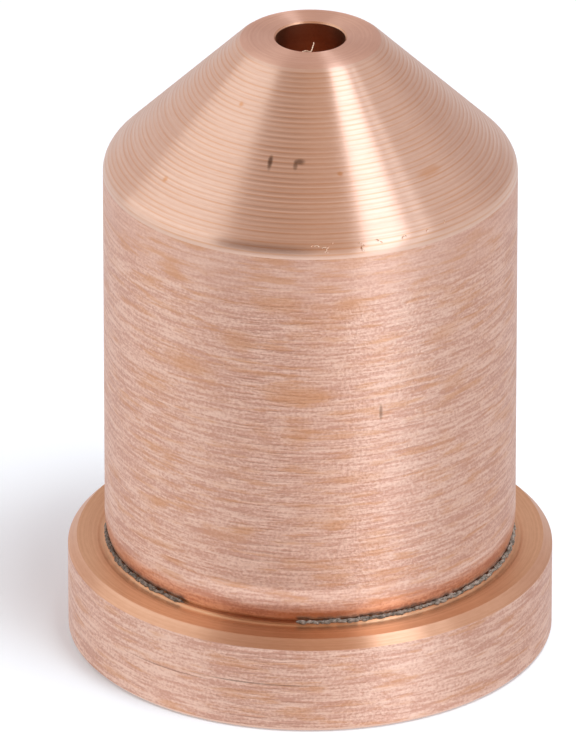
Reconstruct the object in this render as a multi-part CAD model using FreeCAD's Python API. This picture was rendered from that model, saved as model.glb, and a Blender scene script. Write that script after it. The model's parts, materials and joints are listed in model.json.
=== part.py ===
"""Plasma torch nozzle: one turned piece of copper, in millimetres.

The frame has +Z along the bore, towards the tip, and its origin at the
centre of the face that the nozzle stands on.
"""
import FreeCAD, Part
import math
import os

# Flange at the foot of the nozzle.
FLANGE_THICKNESS = 3.86
FLANGE_OVERHANG = 1.44
FLANGE_TOP_CHAMFER = 0.35
FLANGE_BASE_CHAMFER = 0.15

# Root of the body: an undercut into the face and the body, then a band that
# is finish-turned and necks in. The seat face starts outside the body.
SEAT_FACE_MARGIN = 0.10
FACE_UNDERCUT = 0.04
ROOT_FILLET = 0.12
RELIEF_HEIGHT = 0.12
RELIEF_DEPTH = 0.20
BAND_NECK = 0.30
BAND_HEIGHT = 1.34

# Body and nose.
BODY_DIAMETER = 16.0
BODY_HEIGHT = 16.0
SHOULDER_RADIUS = 0.87
CONE_HALF_ANGLE = 45.3
TIP_DIAMETER = 5.3
TIP_EDGE_RADIUS = 0.80

# Bores, from the tip down to the base.
ORIFICE_DIAMETER = 2.7
ORIFICE_EDGE_BREAK = 0.06
ORIFICE_ENTRY_RADIUS = 0.40
NOSE_WALL = 3.10
CHAMBER_CORNER_RADIUS = 1.0
BODY_WALL = 2.50
SEAT_LEDGE = 0.75
SEAT_DEPTH = 2.50
ENTRY_CHAMFER = 0.30


def point(radius, height):
    """Return a point of the section, which lies in the XZ plane."""
    return FreeCAD.Vector(radius, 0.0, height)


def rounded(before, corner, after, radius):
    """Return start, middle and end of the arc that rounds a corner."""
    inward = (before - corner).normalize()
    outward = (after - corner).normalize()
    half_turn = inward.getAngle(outward) / 2.0
    setback = radius / math.tan(half_turn)
    bisector = (inward + outward).normalize()
    centre = corner + bisector * (radius / math.sin(half_turn))
    start = corner + inward * setback
    middle = centre - bisector * radius
    end = corner + outward * setback
    return start, middle, end


def tangent_arc(top, bottom):
    """Return the middle of an arc upright at its top that ends at bottom."""
    drop = top.z - bottom.z
    inset = top.x - bottom.x
    radius = (drop ** 2 + inset ** 2) / (2.0 * inset)
    angle = math.asin(drop / radius) / 2.0
    return point(top.x - radius * (1.0 - math.cos(angle)), top.z - radius * math.sin(angle))


class Section:
    """A closed outline of straight runs and arcs, revolved about Z."""

    def __init__(self, start):
        self.start = start
        self.last = start
        self.edges = []

    def line_to(self, target):
        """Add a straight run to the target."""
        self.edges.append(Part.LineSegment(self.last, target).toShape())
        self.last = target

    def arc_to(self, middle, target):
        """Add an arc that passes through middle and ends at the target."""
        self.edges.append(Part.Arc(self.last, middle, target).toShape())
        self.last = target

    def round_to(self, corner, after, radius):
        """Add a run that ends in an arc around the corner."""
        start, middle, end = rounded(self.last, corner, after, radius)
        self.line_to(start)
        self.arc_to(middle, end)

    def revolve(self):
        """Close the outline and return the turned solid."""
        self.line_to(self.start)
        face = Part.Face(Part.Wire(self.edges))
        return face.revolve(FreeCAD.Vector(0, 0, 0), FreeCAD.Vector(0, 0, 1), 360)


def nozzle():
    """Build the nozzle from its section."""
    body_r = BODY_DIAMETER / 2.0
    flange_r = body_r + FLANGE_OVERHANG
    tip_r = TIP_DIAMETER / 2.0
    orifice_r = ORIFICE_DIAMETER / 2.0
    chamber_r = body_r - BODY_WALL
    seat_r = chamber_r + SEAT_LEDGE
    slope = math.tan(math.radians(CONE_HALF_ANGLE))

    # Heights of the outside, from the flange face up to the tip.
    root_z = FLANGE_THICKNESS - FACE_UNDERCUT
    lip_z = root_z + ROOT_FILLET
    band_bottom_z = lip_z + RELIEF_HEIGHT
    band_top_z = band_bottom_z + BAND_HEIGHT
    shoulder_z = FLANGE_THICKNESS + BODY_HEIGHT
    tip_z = shoulder_z + (body_r - tip_r) / slope

    # The inner cone runs parallel to the outer one, a wall's thickness inside.
    wall_drop = NOSE_WALL / math.sin(math.radians(CONE_HALF_ANGLE))
    orifice_z = shoulder_z + (body_r - orifice_r) / slope - wall_drop
    chamber_z = shoulder_z + (body_r - chamber_r) / slope - wall_drop

    band_bottom_r = body_r - BAND_NECK
    relief_r = band_bottom_r - RELIEF_DEPTH

    section = Section(point(seat_r + ENTRY_CHAMFER, 0.0))
    section.line_to(point(flange_r - FLANGE_BASE_CHAMFER, 0.0))
    section.line_to(point(flange_r, FLANGE_BASE_CHAMFER))
    section.line_to(point(flange_r, FLANGE_THICKNESS - FLANGE_TOP_CHAMFER))
    section.line_to(point(flange_r - FLANGE_TOP_CHAMFER, FLANGE_THICKNESS))

    # Seat face, undercut, root fillet, relief groove and necked band.
    root = point(band_bottom_r, root_z)
    section.line_to(point(body_r + SEAT_FACE_MARGIN, FLANGE_THICKNESS))
    section.line_to(point(band_bottom_r + 2.0 * ROOT_FILLET, root_z))
    section.round_to(root, point(band_bottom_r, lip_z), ROOT_FILLET)
    section.line_to(point(relief_r, lip_z))
    section.line_to(point(relief_r, band_bottom_z))
    section.line_to(point(band_bottom_r, band_bottom_z))
    band_top = point(body_r, band_top_z)
    section.arc_to(tangent_arc(band_top, section.last), band_top)

    # Body, shoulder, cone and tip.
    shoulder = point(body_r, shoulder_z)
    tip_corner = point(tip_r, tip_z)
    section.round_to(shoulder, tip_corner, SHOULDER_RADIUS)
    section.round_to(tip_corner, point(orifice_r, tip_z), TIP_EDGE_RADIUS)

    # Bores, from the tip back to the base.
    section.line_to(point(orifice_r + ORIFICE_EDGE_BREAK, tip_z))
    section.line_to(point(orifice_r, tip_z - ORIFICE_EDGE_BREAK))
    orifice_corner = point(orifice_r, orifice_z)
    chamber_corner = point(chamber_r, chamber_z)
    section.round_to(orifice_corner, chamber_corner, ORIFICE_ENTRY_RADIUS)
    section.round_to(chamber_corner, point(chamber_r, SEAT_DEPTH), CHAMBER_CORNER_RADIUS)
    section.line_to(point(chamber_r, SEAT_DEPTH))
    section.line_to(point(seat_r, SEAT_DEPTH))
    section.line_to(point(seat_r, ENTRY_CHAMFER))
    return section.revolve()


os.makedirs("parts", exist_ok=True)
solid = nozzle()
solid.exportStep("parts/nozzle.step")
bounds = solid.BoundBox
print("nozzle", solid.ShapeType, "valid", solid.isValid(), "volume", round(solid.Volume, 2))
print("size", round(bounds.XLength, 3), round(bounds.YLength, 3), round(bounds.ZLength, 3))
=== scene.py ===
"""Finish, studio and camera for a plasma torch nozzle turned from one piece of copper.

The nozzle stands on its flange with +Z along the bore. An azimuth is counted
in degrees from the front, which faces -Y, and is positive towards +X.
"""
from __future__ import annotations

import json
import logging
import math
from dataclasses import dataclass, field
from enum import IntEnum

import bmesh
import bpy
from mathutils import Matrix, Vector


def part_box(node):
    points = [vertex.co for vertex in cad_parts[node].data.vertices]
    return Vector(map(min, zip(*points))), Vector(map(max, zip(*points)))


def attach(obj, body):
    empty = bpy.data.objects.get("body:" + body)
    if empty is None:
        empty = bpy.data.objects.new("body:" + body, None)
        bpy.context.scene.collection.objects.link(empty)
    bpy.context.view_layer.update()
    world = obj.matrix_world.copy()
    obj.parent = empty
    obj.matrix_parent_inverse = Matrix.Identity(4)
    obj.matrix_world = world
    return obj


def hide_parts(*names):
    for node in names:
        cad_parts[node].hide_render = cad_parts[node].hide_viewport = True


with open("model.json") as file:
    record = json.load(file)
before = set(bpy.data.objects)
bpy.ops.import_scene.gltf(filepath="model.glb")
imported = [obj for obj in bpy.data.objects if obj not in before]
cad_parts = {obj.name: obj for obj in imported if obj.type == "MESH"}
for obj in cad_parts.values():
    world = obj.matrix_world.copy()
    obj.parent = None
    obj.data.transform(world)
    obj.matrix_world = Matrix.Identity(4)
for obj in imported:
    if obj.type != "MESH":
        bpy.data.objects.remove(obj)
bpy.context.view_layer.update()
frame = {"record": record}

MM = 0.001
BODY = "root"
NODE = "nozzle"

# Sizes in millimetres that the frame doesn't give, and the cone's half angle in degrees.
BODY_HEIGHT = 16.0
CONE_HALF_ANGLE = 45.3
FEED = 0.204

Colour = tuple[float, float, float, float]
Socket = bpy.types.NodeSocket

log = logging.getLogger("nozzle")


def rgb(red: float, green: float, blue: float) -> Colour:
    """Return an opaque linear colour for a socket."""
    return (red, green, blue, 1.0)


def on_circle(radius: float, azimuth: float, height: float) -> Vector:
    """Return the point at a radius, an azimuth in degrees and a height."""
    turn = math.radians(azimuth)
    return Vector((radius * math.sin(turn), -radius * math.cos(turn), height))


# ---------------------------------------------------------------------------
# Node trees
# ---------------------------------------------------------------------------


class NodeSheet:
    """Adds nodes to one node tree and joins them."""

    def __init__(self, tree: bpy.types.NodeTree) -> None:
        """Take the tree to draw in.

        Args:
            tree: A shader or geometry node tree.
        """
        self.tree = tree

    def feed(self, socket: Socket, value: object) -> None:
        """Link a socket to another one, or set its value.

        Args:
            socket: The input to fill.
            value: A socket to link, or a plain value.
        """
        if isinstance(value, Socket):
            self.tree.links.new(value, socket)
        else:
            socket.default_value = value

    def add(self, kind: str, inputs: dict | None = None, **settings: object) -> bpy.types.Node:
        """Add a node.

        Args:
            kind: The node's type.
            inputs: Values or sockets for its inputs, by name or number.
            settings: Properties of the node itself.

        Returns:
            The new node.
        """
        node = self.tree.nodes.new(kind)
        for name, value in settings.items():
            setattr(node, name, value)
        for key, value in (inputs or {}).items():
            self.feed(node.inputs[key], value)
        return node

    def math(self, operation: str, *values: object) -> Socket:
        """Add a Math node.

        Args:
            operation: The node's operation.
            values: Its inputs, in order.

        Returns:
            The result socket.
        """
        return self.add("ShaderNodeMath", dict(enumerate(values)), operation=operation).outputs[0]

    def vector(self, operation: str, *values: object) -> Socket:
        """Add a Vector Math node.

        Args:
            operation: The node's operation.
            values: Its inputs, in order.

        Returns:
            The result socket: the number for a length or a dot product.
        """
        node = self.add("ShaderNodeVectorMath", dict(enumerate(values)), operation=operation)
        return node.outputs[1] if operation in ("LENGTH", "DOT_PRODUCT") else node.outputs[0]

    def ramp(
        self, value: object, low: object, high: object, start: object = 0.0, end: object = 1.0
    ) -> Socket:
        """Map a value smoothly from low..high to start..end, and clamp it.

        Args:
            value: The value to map.
            low: Value that gives start.
            high: Value that gives end.
            start: Result at low.
            end: Result at high.

        Returns:
            The result socket.
        """
        inputs = {0: value, 1: low, 2: high, 3: start, 4: end}
        return self.add("ShaderNodeMapRange", inputs, interpolation_type="SMOOTHSTEP").outputs[0]

    def mix(self, factor: object, first: object, second: object, blend: str = "MIX") -> Socket:
        """Mix two colours.

        Args:
            factor: Share of the second colour.
            first: Colour at factor 0.
            second: Colour at factor 1.
            blend: The node's blend type.

        Returns:
            The colour socket.
        """
        inputs = {0: factor, 6: first, 7: second}
        return self.add("ShaderNodeMix", inputs, data_type="RGBA", blend_type=blend).outputs[2]

    def noise(self, where: Socket, scale: float, detail: float = 2.0, rough: float = 0.5) -> Socket:
        """Add a noise texture.

        Args:
            where: The vector to read it at.
            scale: Cells for each unit of the vector.
            detail: Octaves.
            rough: Share of the finer octaves.

        Returns:
            The value socket, which lies about 0.5.
        """
        inputs = {"Vector": where, "Scale": scale, "Detail": detail, "Roughness": rough}
        return self.add("ShaderNodeTexNoise", inputs).outputs[0]

    def bump(self, relief: Socket) -> Socket:
        """Return a normal that follows a relief in millimetres."""
        inputs = {"Strength": 1.0, "Distance": MM, "Height": relief}
        return self.add("ShaderNodeBump", inputs).outputs[0]


def new_material(name: str) -> tuple[bpy.types.Material, NodeSheet]:
    """Return a new material and a sheet for its node tree, which is empty."""
    material = bpy.data.materials.new(name)
    material.use_nodes = True
    material.node_tree.nodes.clear()
    return material, NodeSheet(material.node_tree)


class TurnedCoordinates:
    """Object coordinates of one material, in millimetres, that follow the lay.

    The station runs up the body, inwards over a face and up the cone, so one
    formula lays marks round the axis on every turned surface.
    """

    def __init__(self, sheet: NodeSheet) -> None:
        """Add the coordinates to a material.

        Args:
            sheet: The material's nodes.
        """
        self.sheet = sheet
        metres = sheet.add("ShaderNodeTexCoord").outputs["Object"]
        self.place = sheet.vector("MULTIPLY", metres, (1.0 / MM,) * 3)
        self.flat = sheet.vector("MULTIPLY", self.place, (1.0, 1.0, 0.0))
        self.height = sheet.add("ShaderNodeSeparateXYZ", {0: self.place}).outputs[2]
        self.station = sheet.math("SUBTRACT", self.height, sheet.vector("LENGTH", self.flat))

    def along_lay(self, stretch: float) -> Socket:
        """Return coordinates squeezed round the axis.

        Args:
            stretch: Scale round the axis: near 0 gives marks that run all round.

        Returns:
            The vector socket.
        """
        squeezed = self.sheet.vector("MULTIPLY", self.flat, (stretch, stretch, 0.0))
        across = self.sheet.add("ShaderNodeCombineXYZ", {2: self.station}).outputs[0]
        return self.sheet.vector("ADD", squeezed, across)


# ---------------------------------------------------------------------------
# Finishes
# ---------------------------------------------------------------------------


@dataclass(frozen=True)
class Marks:
    """One layer of tool marks or grain.

    Args:
        density: Marks for each millimetre across the lay.
        stretch: Scale round the axis; 1 is even grain, 0 runs all round.
        tint: How far the layer sways the colour.
        relief: Depth in millimetres.
        detail: Octaves of the noise.
    """

    density: float
    stretch: float
    tint: float
    relief: float
    detail: float = 2.0


@dataclass(frozen=True)
class Tarnish:
    """Soft spots of another colour, scattered along the lay.

    Args:
        density: Spots for each millimetre across the lay.
        stretch: Scale round the axis.
        start: Noise value where a spot starts; a higher one gives fewer spots.
        strength: How far the spots take the colour over.
        rise: How much more noise gives a spot its full strength.
    """

    density: float
    stretch: float
    start: float
    strength: float
    rise: float = 0.17

    def mask(self, sheet: NodeSheet, turned: TurnedCoordinates) -> Socket:
        """Return the spots' mask.

        Args:
            sheet: The material's nodes.
            turned: Its coordinates.

        Returns:
            The mask socket.
        """
        value = sheet.noise(turned.along_lay(self.stretch), self.density, 4.0, 0.6)
        return sheet.ramp(value, self.start, self.start + self.rise, 0.0, self.strength)


@dataclass(frozen=True)
class Blemish:
    """A stain, smudge, nick or scratch on a turned surface, in millimetres.

    Args:
        azimuth: Where it is, in degrees.
        radius: Its distance from the axis.
        height: Its height.
        wide: Half its width.
        tall: Half its height.
        strength: How far it takes the colour over.
        ragged: How far its edge sways, as a share of its size.
        deep: Half its reach through the surface.
    """

    azimuth: float
    radius: float
    height: float
    wide: float
    tall: float
    strength: float = 1.0
    ragged: float = 0.7
    deep: float = 1.5

    def mask(self, sheet: NodeSheet, place: Socket, noise: Socket) -> Socket:
        """Return a mask that is strong in the spot and fades at its ragged edge.

        Args:
            sheet: The material's nodes.
            place: Object coordinates in millimetres.
            noise: Noise that breaks the edge.

        Returns:
            The mask socket.
        """
        inputs = {
            "Vector": place,
            "Location": on_circle(self.radius, self.azimuth, self.height),
            "Rotation": (0.0, 0.0, math.radians(self.azimuth)),
            "Scale": (self.wide, self.deep, self.tall),
        }
        local = sheet.add("ShaderNodeMapping", inputs, vector_type="TEXTURE").outputs[0]
        sway = sheet.math("MULTIPLY_ADD", noise, 2.0 * self.ragged, -self.ragged)
        edge = sheet.math("ADD", sheet.vector("LENGTH", local), sway)
        outside, inside = 1.2, 0.3
        return sheet.ramp(edge, outside, inside, 0.0, self.strength)


@dataclass(frozen=True)
class PaintedFeedShade:
    """Thin dark lines at the ridges between feed marks: painted shade that stands in for the shading of the
    marks' relief.

    Args:
        pitch: Distance between lines, as a change of station.
        start: Station of one line.
        strength: How dark the lines are.
        edge: Share of the pitch, from the middle of a mark, where a line starts.
        core: The same, where it is darkest.
        faintest: Share of the strength that is left in its faint stretches.
    """

    pitch: float
    start: float
    strength: float
    edge: float = 0.26
    core: float = 0.46
    faintest: float = 0.25

    def mask(self, sheet: NodeSheet, turned: TurnedCoordinates) -> Socket:
        """Return the lines' mask.

        Args:
            sheet: The material's nodes.
            turned: Its coordinates.

        Returns:
            The mask socket.
        """
        phase = sheet.math("DIVIDE", sheet.math("SUBTRACT", turned.station, self.start), self.pitch)
        across = sheet.math("ABSOLUTE", sheet.math("SUBTRACT", sheet.math("FRACT", phase), 0.5))
        line = sheet.ramp(across, self.edge, self.core, 0.0, self.strength)
        uneven = sheet.noise(turned.along_lay(0.12), 3.0, 3.0)
        return sheet.math("MULTIPLY", line, sheet.ramp(uneven, 0.30, 0.60, self.faintest, 1.0))


@dataclass(frozen=True)
class Polish:
    """A stretch below a height where finer turning has taken the marks away.

    Args:
        height: Where the stretch ends, in millimetres.
        fade: How unevenly it ends, in millimetres.
        roughness: Roughness of the stretch.
        marks_left: Share of the relief that is left in it.
    """

    height: float
    fade: float
    roughness: float
    marks_left: float

    def share(self, sheet: NodeSheet, turned: TurnedCoordinates) -> Socket:
        """Return 0 in the stretch and 1 above it, with an uneven edge.

        Args:
            sheet: The material's nodes.
            turned: Its coordinates.

        Returns:
            The mask socket.
        """
        sway = sheet.noise(turned.along_lay(0.25), 2.5, 3.0)
        edge = sheet.math("MULTIPLY_ADD", sway, 2.0 * self.fade, turned.height)
        return sheet.ramp(edge, self.height, self.height + self.fade * 1.6)


@dataclass(frozen=True)
class Calm:
    """A stretch above a height where the marks are fainter.

    Args:
        start: Height where they start to fade, in millimetres.
        end: Height where they are faintest.
        marks_left: Share of them that is left there.
    """

    start: float
    end: float
    marks_left: float


@dataclass(frozen=True)
class CopperFinish:
    """Bare copper with marks round the axis. Colours are linear.

    Args:
        name: The material's name.
        pale: Colour of the high spots.
        deep: Colour between them.
        roughness: Roughness of the surface.
        layers: Its marks and grain.
        anisotropy: How far the lay spreads a reflection across itself.
        stain: Colour of tarnish and stains, and of the painted shade of the feed lines.
        tarnish: Scattered spots.
        stains: Single spots in the stain's colour.
        dark: Colour of smudges.
        smudges: Single dark spots.
        polish: A finer stretch at the foot.
        calm: A fainter stretch at the top.
        feed: Painted shade lines between feed marks.
    """

    name: str
    pale: Colour
    deep: Colour
    roughness: float
    layers: tuple[Marks, ...]
    anisotropy: float = 0.0
    stain: Colour = rgb(0.74, 0.37, 0.19)
    tarnish: tuple[Tarnish, ...] = ()
    stains: tuple[Blemish, ...] = ()
    dark: Colour = rgb(0.16, 0.09, 0.06)
    smudges: tuple[Blemish, ...] = ()
    polish: Polish | None = None
    calm: Calm | None = None
    feed: PaintedFeedShade | None = None

    def build(self) -> bpy.types.Material:
        """Build the material.

        Returns:
            The finished material.
        """
        material, sheet = new_material(self.name)
        turned = TurnedCoordinates(sheet)
        tint, relief = self.stack(sheet, turned)
        colour = self.paint(sheet, turned, tint)
        roughness: object = self.roughness
        if self.polish:
            rest = self.polish
            left = rest.share(sheet, turned)
            gain = self.roughness - rest.roughness
            roughness = sheet.math("MULTIPLY_ADD", left, gain, rest.roughness)
            kept = sheet.math("MULTIPLY_ADD", left, 1.0 - rest.marks_left, rest.marks_left)
            relief = sheet.math("MULTIPLY", relief, kept)
        inputs = {"Base Color": colour, "Metallic": 1.0, "Roughness": roughness}
        shader = sheet.add("ShaderNodeBsdfPrincipled", inputs)
        sheet.feed(shader.inputs["Normal"], sheet.bump(relief))
        shader.inputs["Anisotropic"].default_value = self.anisotropy
        shader.inputs["Anisotropic Rotation"].default_value = 0.25
        lay = sheet.add("ShaderNodeTangent", direction_type="RADIAL", axis="Z").outputs[0]
        sheet.feed(shader.inputs["Tangent"], lay)
        sheet.add("ShaderNodeOutputMaterial", {0: shader.outputs[0]})
        return material

    def stack(self, sheet: NodeSheet, turned: TurnedCoordinates) -> tuple[Socket, Socket]:
        """Add up the layers of marks.

        Args:
            sheet: The material's nodes.
            turned: Its coordinates.

        Returns:
            The colour sway about 0.5, and the relief in millimetres.
        """
        tint: object = 0.5
        relief: object = 0.0
        for layer in self.layers:
            lay = turned.along_lay(layer.stretch)
            swing = sheet.noise(lay, layer.density, layer.detail, 0.55)
            swing = sheet.math("SUBTRACT", swing, 0.5)
            tint = sheet.math("MULTIPLY_ADD", swing, layer.tint, tint)
            relief = sheet.math("MULTIPLY_ADD", swing, layer.relief, relief)
        if self.calm:
            calm = self.calm
            left = sheet.ramp(turned.height, calm.start, calm.end, 1.0, calm.marks_left)
            tint = sheet.math("MULTIPLY_ADD", sheet.math("SUBTRACT", tint, 0.5), left, 0.5)
            relief = sheet.math("MULTIPLY", relief, left)
        return tint, relief

    def paint(self, sheet: NodeSheet, turned: TurnedCoordinates, tint: Socket) -> Socket:
        """Colour the copper, then lay its painted feed-line shade, tarnish, stains and smudges over it.

        Args:
            sheet: The material's nodes.
            turned: Its coordinates.
            tint: The marks' colour sway about 0.5.

        Returns:
            The colour socket.
        """
        colour = sheet.mix(sheet.ramp(tint, 0.0, 1.0), self.deep, self.pale)
        # The feed lines are painted shade of the feed marks; the tarnish is the copper's own colour.
        for over in (self.feed, *self.tarnish):
            if over:
                colour = sheet.mix(over.mask(sheet, turned), colour, self.stain)
        ragged = sheet.noise(turned.along_lay(0.35), 3.0, 3.0, 0.65)
        for over, spots in ((self.stain, self.stains), (self.dark, self.smudges)):
            for spot in spots:
                colour = sheet.mix(spot.mask(sheet, turned.place, ragged), colour, over)
        return colour


@dataclass(frozen=True)
class DullFinish:
    """A plain finish with uneven colour, for dirt, burrs and fibres.

    Args:
        name: The material's name.
        pale: One of its colours.
        deep: The other one.
        roughness: Roughness of the surface.
        metallic: 1 for metal.
        density: Patches for each millimetre.
        relief: Height of the patches in millimetres.
    """

    name: str
    pale: Colour
    deep: Colour
    roughness: float
    metallic: float = 0.0
    density: float = 6.0
    relief: float = 0.02

    def build(self) -> bpy.types.Material:
        """Build the material.

        Returns:
            The finished material.
        """
        material, sheet = new_material(self.name)
        value = sheet.noise(TurnedCoordinates(sheet).place, self.density, 3.0, 0.6)
        inputs = {
            "Base Color": sheet.mix(sheet.ramp(value, 0.35, 0.65), self.deep, self.pale),
            "Metallic": self.metallic,
            "Roughness": self.roughness,
            "Normal": sheet.bump(sheet.math("MULTIPLY", value, self.relief)),
        }
        shader = sheet.add("ShaderNodeBsdfPrincipled", inputs)
        sheet.add("ShaderNodeOutputMaterial", {0: shader.outputs[0]})
        return material


# ---------------------------------------------------------------------------
# Geometry node trees
# ---------------------------------------------------------------------------


class GrowingTree(NodeSheet):
    """A geometry node tree with named inputs, whose result becomes a plain mesh."""

    def __init__(self, name: str) -> None:
        """Start a tree.

        Args:
            name: The tree's name.
        """
        super().__init__(bpy.data.node_groups.new(name, "GeometryNodeTree"))
        self.values: dict[str, object] = {}
        self.tree.interface.new_socket("Geometry", in_out="INPUT", socket_type="NodeSocketGeometry")
        self.tree.interface.new_socket("Geometry", in_out="OUTPUT", socket_type="NodeSocketGeometry")
        self.start = self.tree.nodes.new("NodeGroupInput")

    def size(self, name: str, value: float | int) -> Socket:
        """Add a named input.

        Args:
            name: The input's name.
            value: What the modifier sets it to.

        Returns:
            The socket to read it from.
        """
        kind = "NodeSocketInt" if isinstance(value, int) else "NodeSocketFloat"
        self.tree.interface.new_socket(name, in_out="INPUT", socket_type=kind)
        self.values[name] = value
        return self.start.outputs[name]

    def attribute(self, name: str, kind: str = "FLOAT") -> Socket:
        """Return a named attribute of the geometry."""
        return self.add("GeometryNodeInputNamedAttribute", {"Name": name}, data_type=kind).outputs[0]

    def random(self, low: float, high: float, where: Socket, seed: int) -> Socket:
        """Return a random number.

        Args:
            low: Least value.
            high: Greatest value.
            where: What it is drawn for.
            seed: Fixed seed.

        Returns:
            The value socket.
        """
        inputs = {2: low, 3: high, 7: where, 8: seed}
        return self.add("FunctionNodeRandomValue", inputs, data_type="FLOAT").outputs[1]

    def per_azimuth(self, turn: Socket, out: Socket, up: Socket, count: Socket) -> Socket:
        """Return points round the axis.

        Args:
            turn: Azimuth of each point, in radians.
            out: Its radius.
            up: Its height.
            count: Number of points.

        Returns:
            The points' socket.
        """
        x = self.math("MULTIPLY", out, self.math("SINE", turn))
        y = self.math("MULTIPLY", out, self.math("MULTIPLY", self.math("COSINE", turn), -1.0))
        at = self.add("ShaderNodeCombineXYZ", {0: x, 1: y, 2: up}).outputs[0]
        return self.add("GeometryNodePoints", {"Count": count, "Position": at}).outputs[0]

    def smooth(self, geometry: Socket) -> Socket:
        """Shade a geometry smooth."""
        inputs = {"Geometry": geometry, "Shade Smooth": True}
        return self.add("GeometryNodeSetShadeSmooth", inputs).outputs[0]

    def store(self, geometry: Socket, name: str, value: Socket, kind: str, domain: str) -> Socket:
        """Store a named attribute.

        Args:
            geometry: The geometry that gets it.
            name: The attribute's name.
            value: Its value.
            kind: Its data type.
            domain: What it belongs to.

        Returns:
            The geometry socket.
        """
        inputs = {"Geometry": geometry, "Name": name, "Value": value}
        node = self.add("GeometryNodeStoreNamedAttribute", inputs, data_type=kind, domain=domain)
        return node.outputs[0]

    def finish(
        self, geometry: Socket, materials: list[bpy.types.Material], choice: Socket | None = None
    ) -> None:
        """End the tree in Realize Instances and Set Material.

        Args:
            geometry: The geometry to hand out.
            materials: Materials in the order of their numbers.
            choice: Number of the material of each face, if there are several.
        """
        made = self.add("GeometryNodeRealizeInstances", {0: geometry}).outputs[0]
        for number, material in enumerate(materials):
            inputs = {"Geometry": made, "Material": material}
            if choice is not None:
                inputs["Selection"] = self.math("COMPARE", choice, float(number), 0.1)
            made = self.add("GeometryNodeSetMaterial", inputs).outputs[0]
        self.add("NodeGroupOutput", {0: made})

    def grow(self, name: str, source: bpy.types.Mesh | None = None) -> bpy.types.Object:
        """Run the tree and keep its result as a plain mesh.

        Args:
            name: Name of the piece.
            source: Mesh that the tree starts from.

        Returns:
            The finished piece, with no modifier on it.
        """
        carrier = bpy.data.objects.new(name + "_carrier", source or bpy.data.meshes.new(name + "_seed"))
        bpy.context.scene.collection.objects.link(carrier)
        modifier = carrier.modifiers.new("grow", "NODES")
        modifier.node_group = self.tree
        for item in self.tree.interface.items_tree:
            if item.in_out == "INPUT" and item.name in self.values:
                modifier[item.identifier] = self.values[item.name]
        shown = carrier.evaluated_get(bpy.context.evaluated_depsgraph_get())
        mesh = bpy.data.meshes.new_from_object(shown)
        bpy.data.objects.remove(carrier)
        mesh.name = name
        return plain_piece(name, mesh)


def plain_piece(name: str, mesh: bpy.types.Mesh) -> bpy.types.Object:
    """Merge a mesh's doubles, turn its faces outwards and make it a piece.

    Args:
        name: Name of the piece.
        mesh: Its mesh, in place.

    Returns:
        The new object, at the origin.
    """
    work = bmesh.new()
    work.from_mesh(mesh)
    bmesh.ops.remove_doubles(work, verts=work.verts, dist=0.0005 * MM)
    bmesh.ops.recalc_face_normals(work, faces=work.faces)
    work.to_mesh(mesh)
    work.free()
    piece = bpy.data.objects.new(name, mesh)
    bpy.context.scene.collection.objects.link(piece)
    return piece


def settle(piece: bpy.types.Object) -> None:
    """Make a piece ride on the nozzle's body and log how many faces it has."""
    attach(piece, BODY)
    log.info("%s: %d faces", piece.name, len(piece.data.polygons))


# ---------------------------------------------------------------------------
# Nozzle
# ---------------------------------------------------------------------------


class Zone(IntEnum):
    """Surfaces of the nozzle that have a finish of their own."""

    BASE = 0
    FLANGE = 1
    FACE = 2
    BAND = 3
    CONE = 4
    TIP = 5
    BORE = 6
    EDGE = 7


@dataclass(frozen=True)
class Gauge:
    """Main sizes of the nozzle in millimetres, read from the frame."""

    body_r: float
    flange_r: float
    chamber_r: float
    seat_r: float
    orifice_r: float
    flange_z: float
    tip_z: float

    @classmethod
    def read(cls) -> Gauge:
        """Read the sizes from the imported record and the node's box.

        Returns:
            The gauge.
        """
        mounts = {mount["name"]: mount for mount in frame["record"]["mounts"]}

        def radius(name: str) -> float:
            """Return the radius of a round mount."""
            return mounts[name]["dims"]["r_mm"]

        return cls(
            body_r=radius("body"),
            flange_r=radius("flange"),
            chamber_r=radius("chamber"),
            seat_r=radius("seat"),
            orifice_r=radius("orifice"),
            flange_z=mounts["flange_shoulder"]["pos_m"][2] / MM,
            tip_z=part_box(NODE)[1][2] / MM,
        )

    @property
    def shoulder_z(self) -> float:
        """Height of the corner that the shoulder rounds."""
        return self.flange_z + BODY_HEIGHT


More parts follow.
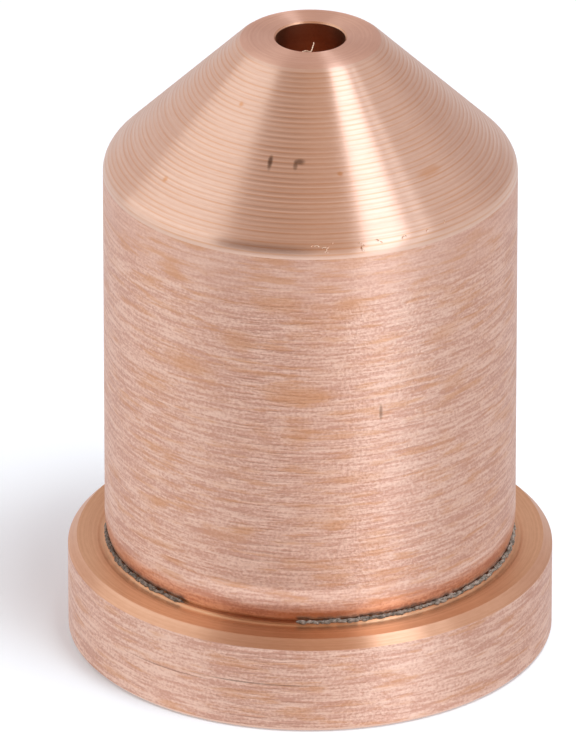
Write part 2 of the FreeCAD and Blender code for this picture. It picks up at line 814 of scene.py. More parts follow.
@dataclass
class HalfSection:
    """The nozzle's section as rings, with the zone of the span after each ring."""

    corners: list[Vector] = field(default_factory=list)
    zones: list[int] = field(default_factory=list)
    phases: list[float] = field(default_factory=list)
    cuts: list[Vector] = field(default_factory=list)

    def ring(self, at: Vector, zone: Zone, phase: float = 0.0, cut: Vector | None = None) -> None:
        """Add a ring.

        Args:
            at: Radius and height in millimetres.
            zone: Zone of the span that follows.
            phase: Number of feed marks so far.
            cut: Where and how far the feed marks go in, in millimetres.
        """
        self.corners.append(at)
        self.zones.append(int(zone))
        self.phases.append(phase)
        self.cuts.append(cut or Vector((0.0, 0.0)))

    def take_back(self) -> Vector:
        """Drop the last ring and return its radius and height."""
        for trace in (self.zones, self.phases, self.cuts):
            trace.pop()
        return self.corners.pop()

    def run(self, end: Vector, zone: Zone, step: float) -> None:
        """Add a straight run of rings up to, but not at, its end.

        Args:
            end: Where the run ends.
            zone: Its zone.
            step: Greatest distance between rings.
        """
        start = self.take_back()
        count = max(1, math.ceil((end - start).length / step))
        for number in range(count):
            self.ring(start.lerp(end, number / count), zone)
        self.ring(end, zone)

    def to_mesh(self, name: str) -> bpy.types.Mesh:
        """Return the rings as loose points in the XZ plane, in metres.

        Args:
            name: The mesh's name.

        Returns:
            The mesh, with the rings' zones, phases and cuts as attributes.
        """
        mesh = bpy.data.meshes.new(name)
        mesh.from_pydata([(at.x * MM, 0.0, at.y * MM) for at in self.corners], [], [])
        mesh.attributes.new("zone", "INT", "POINT").data.foreach_set("value", self.zones)
        mesh.attributes.new("phase", "FLOAT", "POINT").data.foreach_set("value", self.phases)
        cuts = [part for cut in self.cuts for part in (cut.x * MM, 0.0, cut.y * MM)]
        mesh.attributes.new("cut", "FLOAT_VECTOR", "POINT").data.foreach_set("vector", cuts)
        return mesh


@dataclass
class TurnedNozzle:
    """The nozzle's own surface, with its feed marks cut in.

    Sizes are in millimetres. Feed marks start a little inside the body's
    radius, fade in from there, and keep tip_share of their depth on the tip.
    The shallowest mark is that share of the deepest. Edges that turn by more
    than smooth_below degrees stay sharp.
    """

    gauge: Gauge
    segments: int = 224
    flange_top_chamfer: float = 0.35
    base_chamfer: float = 0.15
    entry_chamfer: float = 0.30
    seat_face_margin: float = 0.32
    face_undercut: float = 0.04
    root_fillet: float = 0.12
    lip_inset: float = 0.04
    relief_height: float = 0.14
    relief_depth: float = 0.14
    band_neck: float = 0.15
    band_height: float = 0.95
    shoulder_radius: float = 0.87
    tip_r: float = 2.65
    tip_edge_radius: float = 0.80
    orifice_break: float = 0.06
    entry_radius: float = 0.40
    nose_wall: float = 3.10
    chamber_radius: float = 1.0
    seat_depth: float = 2.50
    feed_depth: float = 0.015
    rings_per_feed: int = 6
    tip_face: float = 0.12
    shoulder_bare: float = 0.25
    shoulder_fade: float = 0.5
    tip_bare: float = 0.1
    tip_fade: float = 0.4
    tip_share: float = 0.6
    shallowest: float = 0.5
    smooth_below: float = 34.0
    weld: float = 0.0004
    seed: int = 7

    @staticmethod
    def rounded(before: Vector, corner: Vector, after: Vector, radius: float, steps: int) -> list[Vector]:
        """Return points along the arc that rounds a corner.

        Args:
            before: A point on the run that reaches the corner.
            corner: The corner.
            after: A point on the run that leaves it.
            radius: Radius of the arc.
            steps: Spans in the arc.

        Returns:
            The points, from the start of the arc to its end.
        """
        inward = (before - corner).normalized()
        outward = (after - corner).normalized()
        half_turn = inward.angle(outward) / 2.0
        bisector = (inward + outward).normalized()
        centre = corner + bisector * (radius / math.sin(half_turn))
        start = corner + inward * (radius / math.tan(half_turn))
        end = corner + outward * (radius / math.tan(half_turn))
        sweep = (start - centre).angle_signed(end - centre)
        spokes = [Matrix.Rotation(-sweep * step / steps, 2) @ (start - centre) for step in range(steps + 1)]
        return [centre + spoke for spoke in spokes]

    def neck(self, top: Vector, bottom: Vector, steps: int) -> list[Vector]:
        """Return points up the band's arc, which is upright at its top.

        Args:
            top: Where the arc meets the body.
            bottom: Where it meets the relief.
            steps: Spans in the arc.

        Returns:
            The points, from bottom to top.
        """
        drop, inset = top.y - bottom.y, top.x - bottom.x
        radius = (drop**2 + inset**2) / (2.0 * inset)
        full = math.asin(drop / radius)
        turns = [full * (1.0 - step / steps) for step in range(steps + 1)]
        return [
            Vector((top.x - radius * (1.0 - math.cos(turn)), top.y - radius * math.sin(turn)))
            for turn in turns
        ]

    def nose(self, section: HalfSection, outline: list[Vector]) -> None:
        """Add the shoulder, cone and tip, with the feed marks laid along them.

        Args:
            section: The section to add to.
            outline: Corners from the foot of the shoulder to the tip's face.
        """
        spans = [(b - a).length for a, b in zip(outline, outline[1:])]
        total = sum(spans)
        count = round(total / FEED * self.rings_per_feed)
        for number in range(count):
            far = total * number / count
            reached, index = 0.0, 0
            while reached + spans[index] < far:
                reached += spans[index]
                index += 1
            run = (outline[index + 1] - outline[index]).normalized()
            at = outline[index] + run * (far - reached)
            inward = Vector((-run.y, run.x))
            share = self.cut_share(at)
            zone = Zone.TIP if at.y > self.gauge.tip_z - self.tip_face else Zone.CONE
            section.ring(at, zone, far / FEED, inward * self.feed_depth * share)

    def cut_share(self, at: Vector) -> float:
        """Return how deep the feed marks are at a point of the nose.

        Args:
            at: Radius and height.

        Returns:
            1 on the cone, less at the shoulder and on the tip.
        """
        shoulder = (self.gauge.body_r - self.shoulder_bare - at.x) / self.shoulder_fade
        tip = (self.gauge.tip_z - self.tip_bare - at.y) / self.tip_fade
        shoulder, tip = (min(1.0, max(0.0, share)) for share in (shoulder, tip))
        return shoulder * (self.tip_share + (1.0 - self.tip_share) * tip)

    def section(self) -> HalfSection:
        """Draw the whole section, from the base up the outside and down the bores.

        Returns:
            The closed section.
        """
        g = self.gauge
        out = HalfSection()
        mouth = Vector((g.seat_r + self.entry_chamfer, 0.0))
        out.ring(mouth, Zone.BASE)
        self.foot(out)
        self.outside(out)
        self.bores(out)
        out.run(mouth, Zone.BORE, step=0.2)
        return out

    def foot(self, out: HalfSection) -> None:
        """Add the flange, the seat face with its undercut, the groove and the neck.

        Args:
            out: The section to add to.
        """
        g = self.gauge
        root_z = g.flange_z - self.face_undercut
        lip_z = root_z + self.root_fillet
        band_z = lip_z + self.relief_height
        band_r = g.body_r - self.band_neck
        lip_r = g.body_r - self.lip_inset
        relief_r = band_r - self.relief_depth
        out.run(Vector((g.flange_r - self.base_chamfer, 0.0)), Zone.BASE, step=0.6)
        out.run(Vector((g.flange_r, self.base_chamfer)), Zone.BASE, step=0.08)
        out.run(Vector((g.flange_r, g.flange_z - self.flange_top_chamfer)), Zone.FLANGE, step=0.5)
        out.run(Vector((g.flange_r - self.flange_top_chamfer, g.flange_z)), Zone.EDGE, step=0.12)
        out.run(Vector((g.body_r + self.seat_face_margin, g.flange_z)), Zone.FACE, step=0.2)
        out.run(Vector((lip_r + 2.0 * self.root_fillet, root_z)), Zone.FACE, step=0.1)
        root, lip = Vector((lip_r, root_z)), Vector((lip_r, lip_z))
        fillet = self.rounded(out.corners[-1], root, lip, self.root_fillet, steps=6)
        groove = [Vector(at) for at in ((relief_r, lip_z), (relief_r, band_z), (band_r, band_z))]
        for at in fillet + groove:
            out.run(at, Zone.FACE, step=0.1)
        band_top = Vector((g.body_r, band_z + self.band_height))
        for at in self.neck(band_top, out.corners[-1], steps=16)[1:]:
            out.run(at, Zone.BAND, step=0.3)

    def outside(self, out: HalfSection) -> None:
        """Add the body, shoulder, cone and tip.

        Args:
            out: The section to add to.
        """
        g = self.gauge
        shoulder = Vector((g.body_r, g.shoulder_z))
        tip = Vector((self.tip_r, g.tip_z))
        edge = Vector((g.orifice_r + self.orifice_break, g.tip_z))
        outline = self.rounded(out.corners[-1], shoulder, tip, self.shoulder_radius, steps=10)
        out.run(outline[0], Zone.BAND, step=0.5)
        outline += self.rounded(outline[-1], tip, edge, self.tip_edge_radius, steps=10) + [edge]
        out.take_back()
        self.nose(out, outline)
        out.ring(edge, Zone.TIP)

    def bores(self, out: HalfSection) -> None:
        """Add the orifice, chamber and seat, whose inner cone is a wall inside the outer one.

        Args:
            out: The section to add to.
        """
        g = self.gauge
        slope = math.tan(math.radians(CONE_HALF_ANGLE))
        drop = self.nose_wall / math.sin(math.radians(CONE_HALF_ANGLE))
        orifice_z = g.shoulder_z + (g.body_r - g.orifice_r) / slope - drop
        chamber_z = g.shoulder_z + (g.body_r - g.chamber_r) / slope - drop
        out.run(Vector((g.orifice_r, g.tip_z - self.orifice_break)), Zone.BORE, step=0.03)
        mouth = Vector((g.orifice_r, orifice_z))
        chamber = Vector((g.chamber_r, chamber_z))
        foot = Vector((g.chamber_r, 0.0))
        for at in self.rounded(out.corners[-1], mouth, chamber, self.entry_radius, steps=6):
            out.run(at, Zone.BORE, step=0.3)
        for at in self.rounded(out.corners[-1], chamber, foot, self.chamber_radius, steps=8):
            out.run(at, Zone.BORE, step=0.5)
        out.run(Vector((g.chamber_r, self.seat_depth)), Zone.BORE, step=1.0)
        out.run(Vector((g.seat_r, self.seat_depth)), Zone.BORE, step=0.3)
        out.run(Vector((g.seat_r, self.entry_chamfer)), Zone.BORE, step=0.5)

    def tree(self, materials: list[bpy.types.Material]) -> GrowingTree:
        """Build the tree that cuts the feed marks and turns the section round Z.

        Args:
            materials: A material for each zone.

        Returns:
            The tree.
        """
        tree = GrowingTree("turn_section")
        segments = tree.size("Segments", self.segments)
        weld = tree.size("Weld", self.weld * MM)
        least = tree.size("Shallowest mark", self.shallowest)
        smooth = tree.size("Smooth below", math.radians(self.smooth_below))
        source = tree.start.outputs["Geometry"]

        # Rings with their feed marks: each mark is a scallop of its own depth.
        phase = tree.attribute("phase")
        across = tree.math("MULTIPLY_ADD", tree.math("FRACT", phase), 2.0, -1.0)
        scallop = tree.math("SUBTRACT", 1.0, tree.math("MULTIPLY", across, across))
        depth = tree.random(0.0, 1.0, tree.math("FLOOR", phase), self.seed)
        depth = tree.math("MULTIPLY_ADD", depth, tree.math("SUBTRACT", 1.0, least), least)
        inputs = {0: tree.attribute("cut", "FLOAT_VECTOR"), "Scale": tree.math("MULTIPLY", scallop, depth)}
        push = tree.add("ShaderNodeVectorMath", inputs, operation="SCALE").outputs[0]
        rings = tree.add("GeometryNodeSetPosition", {"Geometry": source, "Offset": push}).outputs[0]

        # A grid of rings by segments, wrapped round the axis.
        count = tree.add("GeometryNodeAttributeDomainSize", {0: source}, component="MESH").outputs[0]
        columns = tree.math("ADD", segments, 1.0)
        grid = tree.add("GeometryNodeMeshGrid", {"Vertices X": count, "Vertices Y": columns}).outputs[0]
        index = tree.add("GeometryNodeInputIndex").outputs[0]
        ring = tree.math("FLOOR", tree.math("DIVIDE", tree.math("ADD", index, 0.5), columns))
        column = tree.math("SUBTRACT", index, tree.math("MULTIPLY", ring, columns))
        position = tree.add("GeometryNodeInputPosition").outputs[0]
        inputs = {0: rings, 1: position, 2: ring}
        corner = tree.add("GeometryNodeSampleIndex", inputs, data_type="FLOAT_VECTOR").outputs[0]
        angle = tree.math("MULTIPLY", tree.math("DIVIDE", column, segments), 2.0 * math.pi)
        inputs = {"Vector": corner, "Angle": angle}
        turned = tree.add("ShaderNodeVectorRotate", inputs, rotation_type="Z_AXIS").outputs[0]
        shell = tree.add("GeometryNodeSetPosition", {"Geometry": grid, "Position": turned}).outputs[0]

        # Each face takes its ring's zone.
        span = tree.math("FLOOR", tree.math("DIVIDE", tree.math("ADD", index, 0.5), segments))
        inputs = {0: source, 1: tree.attribute("zone", "INT"), 2: span}
        zone = tree.add("GeometryNodeSampleIndex", inputs, data_type="INT").outputs[0]
        shell = tree.store(shell, "zone", zone, "INT", "FACE")
        shell = tree.add("GeometryNodeMergeByDistance", {"Geometry": shell, "Distance": weld}).outputs[0]
        sharp = tree.math("GREATER_THAN", tree.add("GeometryNodeInputMeshEdgeAngle").outputs[0], smooth)
        shell = tree.store(shell, "sharp_edge", sharp, "BOOLEAN", "EDGE")
        tree.finish(tree.smooth(shell), materials, tree.attribute("zone", "INT"))
        return tree

    def build(self, finishes: dict[Zone, bpy.types.Material]) -> bpy.types.Object:
        """Build the nozzle's surface.

        Args:
            finishes: Material of each zone.

        Returns:
            The piece.
        """
        tree = self.tree([finishes[zone] for zone in Zone])
        piece = tree.grow("nozzle_surface", self.section().to_mesh("nozzle_section"))
        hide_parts(NODE)
        settle(piece)
        return piece


# ---------------------------------------------------------------------------
# What the lathe and the last job left
# ---------------------------------------------------------------------------


@dataclass
class GrooveResidue:
    """Dried grey residue packed in the relief groove, on part of its round.

    Stretches are in degrees and distances in millimetres. A grain's length and
    rise are shares of its size, and its lean is in radians.
    """

    gauge: Gauge
    stretches: tuple[tuple[float, float], ...] = ((-3.0, 112.0), (-112.0, -39.0))
    inset: float = 0.07
    above_face: float = 0.13
    grain: float = 0.06
    per_degree: float = 3.0
    spread_out: tuple[float, float] = (-0.06, 0.05)
    spread_up: tuple[float, float] = (-0.05, 0.05)
    lean: tuple[float, float] = (-0.5, 0.5)
    length: tuple[float, float] = (1.2, 3.0)
    rise: tuple[float, float] = (0.7, 1.3)
    seed: int = 3
    grain_seed: int = 11

    def tree(self, material: bpy.types.Material, start: float, end: float) -> GrowingTree:
        """Build the tree that packs grains along one stretch of the groove.

        Args:
            material: The residue's material.
            start: Azimuth where the stretch starts.
            end: Azimuth where it ends.

        Returns:
            The tree.
        """
        tree = GrowingTree("pack_groove")
        count = tree.size("Grains", round((end - start) * self.per_degree))
        first = tree.size("First azimuth", math.radians(start))
        last = tree.size("Last azimuth", math.radians(end))
        radius = tree.size("Radius", (self.gauge.body_r - self.inset) * MM)
        height = tree.size("Height", (self.gauge.flange_z + self.above_face) * MM)
        grain = tree.size("Grain", self.grain * MM)
        index = tree.add("GeometryNodeInputIndex").outputs[0]
        share = tree.math("DIVIDE", index, count)
        turn = tree.math("MULTIPLY_ADD", share, tree.math("SUBTRACT", last, first), first)
        away = tree.random(*(way * MM for way in self.spread_out), index, self.seed)
        out = tree.math("ADD", radius, away)
        lift = tree.random(*(way * MM for way in self.spread_up), index, self.seed + 1)
        up = tree.math("ADD", height, lift)
        points = tree.per_azimuth(turn, out, up, count)
        lump = tree.add("GeometryNodeMeshIcoSphere", {"Radius": 1.0, "Subdivisions": 2}).outputs[0]
        lean = tree.random(*self.lean, index, self.grain_seed)
        spin = tree.add("ShaderNodeCombineXYZ", {0: lean, 2: turn}).outputs[0]
        long = tree.math("MULTIPLY", grain, tree.random(*self.length, index, self.grain_seed + 1))
        tall = tree.math("MULTIPLY", grain, tree.random(*self.rise, index, self.grain_seed + 2))
        scale = tree.add("ShaderNodeCombineXYZ", {0: long, 1: grain, 2: tall}).outputs[0]
        inputs = {"Points": points, "Instance": lump, "Rotation": spin, "Scale": scale}
        packed = tree.add("GeometryNodeInstanceOnPoints", inputs).outputs[0]
        packed = tree.add("GeometryNodeRealizeInstances", {0: packed}).outputs[0]
        tree.finish(tree.smooth(packed), [material])
        return tree

    def build(self, material: bpy.types.Material) -> None:
        """Build a piece for each stretch.

        Args:
            material: The residue's material.
        """
        for number, (start, end) in enumerate(self.stretches, 1):
            settle(self.tree(material, start, end).grow(f"groove_residue_{number}"))


@dataclass
class ShoulderBurrs:
    """Small bright curls of copper along the shoulder's edge.

    Azimuths and the curls' sweep are in degrees, distances in millimetres. A
    curl slides that far up the cone, and its wire is a share of its size.
    """

    gauge: Gauge
    count: int = 18
    first: float = -4.0
    last: float = 44.0
    inset: float = 0.035
    below_shoulder: float = 0.03
    size: float = 0.13
    slide: tuple[float, float] = (-0.02, 0.30)
    smallest: float = 0.45
    sweep: float = 230.0
    wire: float = 0.22
    seed: int = 21

    def tree(self, material: bpy.types.Material) -> GrowingTree:
        """Build the tree that scatters curls along the shoulder.

        Args:
            material: Their material.

        Returns:
            The tree.
        """
        tree = GrowingTree("scatter_burrs")
        count = tree.size("Burrs", self.count)
        first = tree.size("First azimuth", math.radians(self.first))
        last = tree.size("Last azimuth", math.radians(self.last))
        radius = tree.size("Radius", (self.gauge.body_r - self.inset) * MM)
        height = tree.size("Height", (self.gauge.shoulder_z - self.below_shoulder) * MM)
        size = tree.size("Size", self.size * MM)
        index = tree.add("GeometryNodeInputIndex").outputs[0]
        turn = tree.random(0.0, 1.0, index, self.seed)
        turn = tree.math("MULTIPLY_ADD", turn, tree.math("SUBTRACT", last, first), first)
        slide = tree.random(*(way * MM for way in self.slide), index, self.seed + 1)
        out = tree.math("SUBTRACT", radius, slide)
        up = tree.math("ADD", height, slide)
        points = tree.per_azimuth(turn, out, up, count)
        inputs = {"Resolution": 9, "Radius": 1.0, "Sweep Angle": math.radians(self.sweep)}
        arc = tree.add("GeometryNodeCurveArc", inputs, mode="RADIUS").outputs[0]
        wire = tree.add("GeometryNodeCurvePrimitiveCircle", {"Resolution": 5, "Radius": self.wire}).outputs[0]
        curl = tree.add("GeometryNodeCurveToMesh", {0: arc, 1: wire, "Fill Caps": True}).outputs[0]
        tilt = [tree.random(-3.1, 3.1, index, self.seed + number) for number in (2, 3, 4)]
        spin = tree.add("ShaderNodeCombineXYZ", dict(enumerate(tilt))).outputs[0]
        grown = tree.math("POWER", tree.random(self.smallest, 1.0, index, self.seed + 5), 2.0)
        scale = tree.math("MULTIPLY", size, grown)
        inputs = {"Points": points, "Instance": curl, "Rotation": spin, "Scale": scale}
        curls = tree.add("GeometryNodeInstanceOnPoints", inputs).outputs[0]
        tree.finish(tree.smooth(curls), [material])
        return tree

    def build(self, material: bpy.types.Material) -> None:
        """Build the burrs.

        Args:
            material: Their material.
        """
        settle(self.tree(material).grow("shoulder_burrs"))


@dataclass
class BoreFibre:
    """A fine pale fibre that hangs over the near edge of the orifice.

    Its reach is a row of places: x, y and the depth below the tip, in millimetres.
    """

    gauge: Gauge
    thickness: float = 0.022
    reach: tuple[tuple[float, float, float], ...] = (
        (-0.32, -1.33, 0.02),
        (-0.22, -1.18, 0.05),
        (-0.10, -1.08, 0.12),
        (0.02, -1.02, 0.18),
        (0.07, -0.86, 0.10),
        (0.08, -0.66, 0.12),
        (0.13, -0.48, 0.10),
        (0.12, -0.40, 0.06),
    )

    def build(self, material: bpy.types.Material) -> None:
        """Build the fibre as a thin tube.

        Args:
            material: Its material.
        """
        curve = bpy.data.curves.new("bore_fibre_line", "CURVE")
        curve.dimensions = "3D"
        curve.bevel_depth = self.thickness * MM
        curve.bevel_resolution = 2
        curve.use_fill_caps = True
        line = curve.splines.new("NURBS")
        line.points.add(len(self.reach) - 1)
        for point, (x, y, below) in zip(line.points, self.reach):
            point.co = (x * MM, y * MM, (self.gauge.tip_z - below) * MM, 1.0)
        line.order_u = 3
        line.use_endpoint_u = True
        carrier = bpy.data.objects.new("bore_fibre_carrier", curve)
        bpy.context.scene.collection.objects.link(carrier)
        shown = carrier.evaluated_get(bpy.context.evaluated_depsgraph_get())
        mesh = bpy.data.meshes.new_from_object(shown)
        bpy.data.objects.remove(carrier)
        mesh.materials.clear()
        mesh.materials.append(material)
        mesh.shade_smooth()
        settle(plain_piece("bore_fibre", mesh))


# ---------------------------------------------------------------------------
# Studio
# ---------------------------------------------------------------------------


@dataclass(frozen=True)
class Softbox:
    """A rectangular lamp that leans towards the nozzle. Distances are in nozzle lengths.

    Args:
        name: The lamp's name.
        centre: Its place.
        wide: Its width.
        long: Its length.
        radiance: Brightness of its face.
        colour: Its colour.
        long_axis: Way that its length lies.
        wide_axis: Way that its width lies.
        mirrored: Whether metal mirrors it.
    """

    name: str
    centre: tuple[float, float, float]
    wide: float
    long: float
    radiance: float
    colour: tuple[float, float, float]
    long_axis: tuple[float, float, float] = (0.0, 0.47, 0.88)
    wide_axis: tuple[float, float, float] = (0.8, 0.55, -0.3)
    mirrored: bool = True

    def build(self, unit: float) -> None:
        """Hang the lamp.

        Args:
            unit: One nozzle length, in metres.
        """
        long_way = Vector(self.long_axis).normalized()
        wide_way = Vector(self.wide_axis)
        wide_way = (wide_way - long_way * wide_way.dot(long_way)).normalized()
        back = wide_way.cross(long_way)
        lamp = bpy.data.lights.new(self.name, "AREA")
        lamp.shape = "RECTANGLE"
        lamp.size = self.wide * unit
        lamp.size_y = self.long * unit
        lamp.energy = self.radiance * math.pi * lamp.size * lamp.size_y
        lamp.color = self.colour
        holder = bpy.data.objects.new(self.name, lamp)
        turn = Matrix((wide_way, long_way, back)).transposed().to_4x4()
        holder.matrix_world = Matrix.Translation(Vector(self.centre) * unit) @ turn
        holder.visible_camera = False
        holder.visible_glossy = self.mirrored
        bpy.context.scene.collection.objects.link(holder)


@dataclass(frozen=True)
class Side:
    """A part of the room with another colour.

    Args:
        towards: Way that it lies.
        start: Cosine from that way where it starts.
        full: Cosine where it has its full colour.
        colour: Its colour.
    """

    towards: tuple[float, float, float]
    start: float
    full: float
    colour: Colour


@dataclass
class Studio:
    """Pale floor, soft lamps, an even surround and the camera.

    Camera distances are in body radii, the elevation in degrees, and the lens
    and sensor in millimetres.
    """

    gauge: Gauge
    elevation: float = 26.13
    lens: float = 751.3
    sensor: float = 36.0
    camera_distance: float = 74.849
    aim_height: float = 1.3636
    aim_aside: float = -0.1078
    floor_reach: float = 60.0
    paper: Colour = rgb(0.86, 0.93, 0.96)
    paper_glow: Colour = rgb(0.7, 0.75, 1.0)
    paper_lift: float = 0.10
    # Painted reflection: the glow that metal mirrors in place of most of the lit paper, and its share.
    painted_reflection_glow: Colour = rgb(0.78, 0.78, 0.81)
    painted_reflection_share: float = 0.75
    surround: Colour = rgb(0.76, 0.69, 0.68)
    sides: tuple[Side, ...] = (
        Side((0.0, -0.80, 0.60), 0.55, 0.95, rgb(0.60, 0.44, 0.34)),
        Side((-0.42, -0.87, 0.26), 0.82, 0.97, rgb(0.18, 0.11, 0.09)),
        Side((0.46, 0.88, 0.10), 0.60, 0.95, rgb(0.60, 0.52, 0.51)),
    )
    softboxes: tuple[Softbox, ...] = (
        Softbox("key_softbox", (5.25, -2.2, 11.4), 3.5, 25.0, 1.38, (0.84, 1.0, 1.16)),
        Softbox("key_strip", (8.3, -0.6, 10.6), 0.8, 25.0, 0.8, (0.82, 1.0, 1.16)),
        Softbox(
            "left_fill", (-8.0, -0.2, 7.5), 10.5, 15.0, 0.36, (0.9, 1.05, 1.1),
            long_axis=(0.0, 0.2, 1.0), wide_axis=(0.0, -1.0, 0.2),
        ),
        Softbox(
            "paper_lamp", (3.4, -3.2, 12.9), 4.0, 4.0, 15.2, (0.97, 1.0, 1.03),
            long_axis=(0.0, 0.97, 0.24), wide_axis=(1.0, 0.0, -0.26), mirrored=False,
        ),
    )

    def build(self) -> None:
        """Build the studio."""
        self.set_floor()
        self.set_surround()
        for softbox in self.softboxes:
            softbox.build(self.gauge.tip_z * MM)
        self.set_camera()
        bpy.context.scene.view_settings.view_transform = "Standard"

    def set_floor(self) -> None:
        """Lay the floor."""
        reach = self.floor_reach * self.gauge.tip_z * MM
        mesh = bpy.data.meshes.new("floor")
        corners = [(x * reach, y * reach, 0.0) for x, y in ((-1, -1), (1, -1), (1, 1), (-1, 1))]
        mesh.from_pydata(corners, [], [(0, 1, 2, 3)])
        mesh.materials.append(self.floor_paper())
        floor = bpy.data.objects.new("floor", mesh)
        bpy.context.scene.collection.objects.link(floor)

    def floor_paper(self) -> bpy.types.Material:
        """Build pale paper, which shows white and keeps the nozzle's shadow, and which glossy rays see mostly
        as a painted reflection glow.

        Returns:
            The finished material.
        """
        material, sheet = new_material("floor_paper")
        paper = sheet.add("ShaderNodeBsdfDiffuse", {"Color": self.paper}).outputs[0]
        path = sheet.add("ShaderNodeLightPath")
        mirrored = path.outputs["Is Glossy Ray"]
        lift = sheet.math("MAXIMUM", path.outputs["Is Camera Ray"], mirrored)
        lift = sheet.math("MULTIPLY", lift, self.paper_lift)
        glow = sheet.add("ShaderNodeEmission", {"Color": self.paper_glow, "Strength": lift}).outputs[0]
        lit = sheet.add("ShaderNodeAddShader", {0: paper, 1: glow}).outputs[0]

        # Painted reflection: metal mirrors an even glow in place of most of the lit paper, painted a little
        # brighter in front of the nozzle.
        way = sheet.vector("NORMALIZE", sheet.add("ShaderNodeTexCoord").outputs["Object"])
        near = sheet.vector("DOT_PRODUCT", way, Vector((0.0, -1.0, 0.0)))
        far = sheet.vector("DOT_PRODUCT", way, Vector((0.71, 0.71, 0.0)))
        near = sheet.ramp(near, 0.45, 0.95, 1.0, 1.45)
        far = sheet.ramp(far, 0.2, 0.9, 1.0, 0.95)
        inputs = {"Color": self.painted_reflection_glow, "Strength": sheet.math("MULTIPLY", near, far)}
        even = sheet.add("ShaderNodeEmission", inputs).outputs[0]
        share = sheet.math("MULTIPLY", mirrored, self.painted_reflection_share)
        shown = sheet.add("ShaderNodeMixShader", {0: share, 1: lit, 2: even}).outputs[0]
        sheet.add("ShaderNodeOutputMaterial", {0: shown})
        return material

    def set_surround(self) -> None:
        """Light the room evenly, with other colours to its sides, and show it white."""
        world = bpy.data.worlds.new("surround")
        bpy.context.scene.world = world
        world.use_nodes = True
        world.node_tree.nodes.clear()
        sheet = NodeSheet(world.node_tree)
        way = sheet.add("ShaderNodeTexCoord").outputs["Generated"]
        colour: object = self.surround
        for side in self.sides:
            facing = sheet.vector("DOT_PRODUCT", way, Vector(side.towards))
            colour = sheet.mix(sheet.ramp(facing, side.start, side.full), colour, side.colour)
        seen = sheet.add("ShaderNodeLightPath").outputs["Is Camera Ray"]
        colour = sheet.mix(seen, colour, rgb(1.0, 1.0, 1.0))
        light = sheet.add("ShaderNodeBackground", {"Color": colour, "Strength": 1.0}).outputs[0]
        sheet.add("ShaderNodeOutputWorld", {0: light})

    def set_camera(self) -> None:
        """Place the camera in front, looking down on the nozzle."""
        unit = self.gauge.body_r * MM
        tilt = math.radians(self.elevation)
        aim = Vector((self.aim_aside, 0.0, self.aim_height)) * unit
        away = Vector((0.0, -math.cos(tilt), math.sin(tilt)))
        lens = bpy.data.cameras.new("camera")
        lens.sensor_width = self.sensor
        lens.lens = self.lens
        lens.clip_start = 0.01
        lens.clip_end = 20.0
        camera = bpy.data.objects.new("camera", lens)
        camera.location = aim + away * self.camera_distance * unit
        camera.rotation_euler = (math.pi / 2.0 - tilt, 0.0, 0.0)
        bpy.context.scene.collection.objects.link(camera)
        bpy.context.scene.camera = camera


# ---------------------------------------------------------------------------
# Finishes of this nozzle
# ---------------------------------------------------------------------------

TORN = (
    Marks(9.0, 0.07, 2.3, 0.050),
    Marks(3.5, 0.12, 0.8, 0.030),
    Marks(11.0, 0.75, 1.5, 0.022, 1.0),
)
TURNED = (Marks(12.0, 0.004, 0.8, 0.0030), Marks(8.0, 0.30, 0.35, 0.0010))
DRILLED = (Marks(6.0, 0.05, 0.4, 0.004), Marks(12.0, 1.0, 0.4, 0.004))
FINE_SPOTS = Tarnish(3.4, 0.14, 0.51, 0.55)
BROAD_SPOTS = Tarnish(1.5, 0.30, 0.52, 0.35)

TORN_PALE, TORN_DEEP = rgb(0.95, 0.66, 0.53), rgb(0.72, 0.41, 0.31)
TURNED_PALE, TURNED_DEEP = rgb(0.92, 0.66, 0.53), rgb(0.76, 0.49, 0.37)


def flange_finish(radius: float) -> CopperFinish:
    """Return the flange's rim: torn copper with two long scratches and a mark.

    Args:
        radius: The flange's radius.

    Returns:
        The finish.
    """
    scratches = (
        Blemish(-12.0, radius, 1.99, 3.0, 0.035, 0.55, 0.4),
        Blemish(-36.0, radius, 1.85, 2.2, 0.030, 0.45, 0.4),
        Blemish(-26.8, radius, 3.56, 0.12, 0.08, 0.8),
    )
    return CopperFinish(
        "torn_flange", TORN_PALE, TORN_DEEP, 0.46, TORN, 0.85, tarnish=(FINE_SPOTS,), smudges=scratches
    )


def cone_finish() -> CopperFinish:
    """Return the cone: turned copper with painted shade lines at the feed ridges, a few stains and some dirt.

    Returns:
        The finish.
    """
    stains = (
        Blemish(-54.4, 6.84, 21.0, 0.16, 0.10, 0.8),
        Blemish(-40.8, 4.08, 23.74, 0.14, 0.09, 0.8),
        Blemish(11.2, 5.81, 22.03, 0.14, 0.09, 0.8),
        Blemish(46.0, 6.34, 21.5, 0.7, 0.18, 0.5),
    )
    dirt = (
        Blemish(-16.3, 5.50, 22.33, 0.11, 0.24, 0.85, 0.4),
        Blemish(-4.4, 5.50, 22.40, 0.24, 0.10, 0.75, 0.5),
        Blemish(-6.0, 5.50, 22.30, 0.10, 0.16, 0.6, 0.5),
    )
    # Painted shade: dark lines at the feed ridges stand in for the marks' shading.
    feed = PaintedFeedShade(0.2885, 11.406, 0.55)
    return CopperFinish(
        "turned_cone", TURNED_PALE, TURNED_DEEP, 0.30, TURNED, 0.94, stains=stains, smudges=dirt, feed=feed
    )


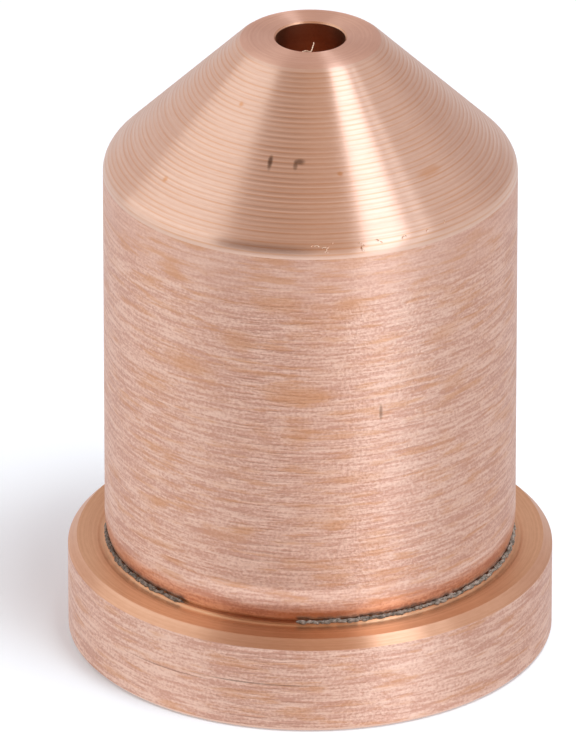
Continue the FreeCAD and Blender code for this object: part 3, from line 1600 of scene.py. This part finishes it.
def body_finish(radius: float) -> CopperFinish:
    """Return the body: torn copper with stains and a nick, finer turned at its foot.

    Args:
        radius: The body's radius.

    Returns:
        The finish.
    """
    stains = (
        Blemish(-20.0, radius, 15.8, 0.9, 0.5, 0.51),
        Blemish(-36.0, radius, 14.3, 1.3, 0.5, 0.51),
        Blemish(-4.0, radius, 13.7, 1.5, 0.6, 0.55),
        Blemish(-3.0, radius, 12.1, 0.8, 0.5, 0.47),
        Blemish(-35.0, radius, 19.5, 1.2, 0.22, 0.59),
        Blemish(-10.0, radius, 19.4, 1.0, 0.22, 0.59),
        Blemish(-42.0, radius, 18.2, 0.6, 0.5, 0.45),
        Blemish(-9.0, radius, 17.6, 1.2, 0.5, 0.5),
        Blemish(11.0, radius, 17.6, 0.8, 0.3, 0.4),
        Blemish(39.0, radius, 15.5, 0.9, 0.4, 0.4),
    )
    return CopperFinish(
        "torn_body",
        TORN_PALE,
        TORN_DEEP,
        0.46,
        TORN,
        0.85,
        tarnish=(FINE_SPOTS, BROAD_SPOTS),
        stains=stains,
        smudges=(Blemish(19.7, radius, 12.8, 0.08, 0.38, 0.55, 0.4),),
        polish=Polish(5.40, 0.10, 0.30, 0.25),
        calm=Calm(16.8, 18.6, 0.45),
    )


def nozzle_finishes(gauge: Gauge) -> dict[Zone, bpy.types.Material]:
    """Build the finishes of the nozzle's zones.

    Args:
        gauge: The nozzle's main sizes.

    Returns:
        The material of each zone.
    """
    faced = rgb(0.92, 0.56, 0.34), rgb(0.72, 0.38, 0.21)
    edge = rgb(0.90, 0.55, 0.37), rgb(0.72, 0.38, 0.23)
    tip = rgb(0.96, 0.63, 0.49), rgb(0.80, 0.47, 0.35)
    bored = rgb(0.80, 0.50, 0.34), rgb(0.60, 0.31, 0.19)
    finishes = {
        Zone.BASE: CopperFinish("turned_copper", TURNED_PALE, TURNED_DEEP, 0.36, TURNED, 0.97),
        Zone.FLANGE: flange_finish(gauge.flange_r),
        Zone.FACE: CopperFinish("faced_copper", *faced, 0.34, TURNED, 0.95),
        Zone.BAND: body_finish(gauge.body_r),
        Zone.CONE: cone_finish(),
        Zone.TIP: CopperFinish("tip_copper", *tip, 0.38, TURNED, 0.98),
        Zone.BORE: CopperFinish("bored_copper", *bored, 0.30, DRILLED),
        Zone.EDGE: CopperFinish("edge_copper", *edge, 0.34, TURNED, 0.95),
    }
    return {zone: finish.build() for zone, finish in finishes.items()}


def main() -> None:
    """Build the nozzle, what sticks to it, and the studio."""
    logging.basicConfig(level=logging.INFO, format="%(message)s")
    gauge = Gauge.read()
    TurnedNozzle(gauge).build(nozzle_finishes(gauge))
    residue = DullFinish("groove_residue", rgb(0.34, 0.29, 0.25), rgb(0.13, 0.115, 0.095), 0.6)
    GrooveResidue(gauge).build(residue.build())
    burr = DullFinish("bright_burr", rgb(0.95, 0.75, 0.60), rgb(0.85, 0.60, 0.45), 0.25, metallic=1.0)
    ShoulderBurrs(gauge).build(burr.build())
    fibre = DullFinish("pale_fibre", rgb(0.75, 0.55, 0.40), rgb(0.60, 0.42, 0.30), 0.6)
    BoreFibre(gauge).build(fibre.build())
    Studio(gauge).build()


if __name__ == "__main__":
    main()
